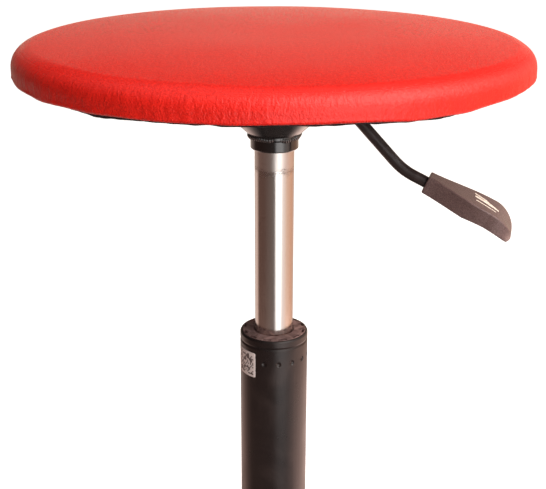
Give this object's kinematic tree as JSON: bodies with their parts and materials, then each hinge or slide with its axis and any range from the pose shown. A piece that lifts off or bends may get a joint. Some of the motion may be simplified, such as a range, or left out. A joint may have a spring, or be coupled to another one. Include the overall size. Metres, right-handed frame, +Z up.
{
  "type": "rolling work stool",
  "caption": "Round padded swivel seat on a gas-spring column with a release lever, standing on a legged base with twin-wheel casters.",
  "frame": {"origin": "on the floor under the column's axis", "axes": "+Z up along the column, +X towards the release lever, which lies in the XZ plane"},
  "size_m": [0.5201, 0.5028, 0.5787],
  "materials": {
    "red_vinyl": "pebbled faux leather, satin",
    "foam": "open-cell cushion foam",
    "plywood": "raw plywood",
    "black_cloth": "non-woven dust cover",
    "zinc_steel": "zinc plated",
    "black_steel": "gloss black enamel",
    "chrome": "polished chrome, lightly scuffed",
    "bright_steel": "ground steel",
    "aluminium": "machined",
    "black_plastic": "fine-textured moulded plastic",
    "wheel_plastic": "moulded nylon, satin tread",
    "black_rubber": "moulded rubber",
    "grey_plastic": "moulded bearing cage"
  },
  "bodies": {
    "base": {"base_star": "black_plastic", "hub_sleeve": "zinc_steel", "outer_tube": "black_steel", "guide_bush": "black_plastic", "bearing_lower_race": "bright_steel", "caster_stems": "zinc_steel", "stem_grip_rings": "bright_steel"},
    "spindle": {"piston_rod": "bright_steel", "piston": "aluminium", "piston_ring": "black_rubber", "bump_stop": "black_rubber", "bearing_upper_race": "bright_steel", "end_washer": "zinc_steel", "retaining_clip": "bright_steel"},
    "bearing_cage": {"ball_cage": "grey_plastic", "bearing_balls": "bright_steel"},
    "seat": {"seat_cover": "red_vinyl", "seat_foam": "foam", "seat_board": "plywood", "dust_cover": "black_cloth", "staples": "zinc_steel", "tee_nuts": "zinc_steel", "seat_screws": "zinc_steel", "seat_washers": "zinc_steel", "seat_plate": "black_steel", "taper_socket": "black_steel", "lever_bracket": "black_steel", "inner_cylinder": "chrome", "working_tube": "bright_steel", "valve_body": "aluminium", "rod_guide": "aluminium", "rod_seal": "black_rubber"},
    "lever": {"lever_rod": "black_steel", "lever_handle": "black_plastic", "lever_pivot": "zinc_steel", "pivot_clips": "bright_steel"},
    "valve_pin": {"release_pin": "bright_steel"},
    "caster_1": {"caster_hood_1": "black_plastic"},
    "wheels_1": {"caster_axle_1": "zinc_steel", "caster_wheel_left_1": "wheel_plastic", "caster_wheel_right_1": "wheel_plastic"},
    "caster_2": {"caster_hood_2": "black_plastic"},
    "wheels_2": {"caster_axle_2": "zinc_steel", "caster_wheel_left_2": "wheel_plastic", "caster_wheel_right_2": "wheel_plastic"},
    "caster_3": {"caster_hood_3": "black_plastic"},
    "wheels_3": {"caster_axle_3": "zinc_steel", "caster_wheel_left_3": "wheel_plastic", "caster_wheel_right_3": "wheel_plastic"},
    "caster_4": {"caster_hood_4": "black_plastic"},
    "wheels_4": {"caster_axle_4": "zinc_steel", "caster_wheel_left_4": "wheel_plastic", "caster_wheel_right_4": "wheel_plastic"},
    "caster_5": {"caster_hood_5": "black_plastic"},
    "wheels_5": {"caster_axle_5": "zinc_steel", "caster_wheel_left_5": "wheel_plastic", "caster_wheel_right_5": "wheel_plastic"}
  },
  "joints": [
    {"name": "seat_swivel", "type": "hinge", "parent": "base", "child": "spindle", "pos_m": [0, 0, 0.06], "axis": [0, 0, 1], "continuous": true},
    {"name": "bearing_turn", "type": "hinge", "parent": "base", "child": "bearing_cage", "pos_m": [0, 0, 0.0586], "axis": [0, 0, 1], "continuous": true},
    {"name": "seat_height", "type": "slide", "parent": "spindle", "child": "seat", "axis": [0, 0, 1], "range_m": [-0.132, 0.062]},
    {"name": "lever_lift", "type": "hinge", "parent": "seat", "child": "lever", "pos_m": [0.0415, 0, 0.53973], "axis": [0, -1, 0], "range_deg": [0, 5], "stiffness_Nm_per_rad": 10, "springref_deg": -5.73},
    {"name": "valve_press", "type": "slide", "parent": "seat", "child": "valve_pin", "axis": [0, 0, -1], "range_m": [0, 0.0038]},
    {"name": "caster_swivel_1", "type": "hinge", "parent": "base", "child": "caster_1", "pos_m": [0.05806, -0.23287, 0.05], "axis": [0, 0, 1], "continuous": true},
    {"name": "wheel_roll_1", "type": "hinge", "parent": "caster_1", "child": "wheels_1", "pos_m": [0.04388, -0.22179, 0.025], "axis": [0.6157, 0.788, 0], "continuous": true},
    {"name": "caster_swivel_2", "type": "hinge", "parent": "base", "child": "caster_2", "pos_m": [0.23942, -0.01674, 0.05], "axis": [0, 0, 1], "continuous": true},
    {"name": "wheel_roll_2", "type": "hinge", "parent": "caster_2", "child": "wheels_2", "pos_m": [0.22833, -0.03093, 0.025], "axis": [-0.788, 0.6157, 0], "continuous": true},
    {"name": "caster_swivel_3", "type": "hinge", "parent": "base", "child": "caster_3", "pos_m": [0.08991, 0.22252, 0.05], "axis": [0, 0, 1], "continuous": true},
    {"name": "wheel_roll_3", "type": "hinge", "parent": "caster_3", "child": "wheels_3", "pos_m": [0.09918, 0.2071, 0.025], "axis": [-0.8572, -0.515, 0], "continuous": true},
    {"name": "caster_swivel_4", "type": "hinge", "parent": "base", "child": "caster_4", "pos_m": [-0.18385, 0.15427, 0.05], "axis": [0, 0, 1], "continuous": true},
    {"name": "wheel_roll_4", "type": "hinge", "parent": "caster_4", "child": "wheels_4", "pos_m": [-0.16655, 0.15923, 0.025], "axis": [0.2756, -0.9613, 0], "continuous": true},
    {"name": "caster_swivel_5", "type": "hinge", "parent": "base", "child": "caster_5", "pos_m": [-0.20353, -0.12718, 0.05], "axis": [0, 0, 1], "continuous": true},
    {"name": "wheel_roll_5", "type": "hinge", "parent": "caster_5", "child": "wheels_5", "pos_m": [-0.22074, -0.13244, 0.025], "axis": [-0.2924, 0.9563, 0], "continuous": true}
  ],
  "couplings": [
    {"joint": "bearing_turn", "follows": "seat_swivel", "ratio": 0.5},
    {"joint": "valve_press", "follows": "lever_lift", "m_per_rad": 0.0415}
  ]
}
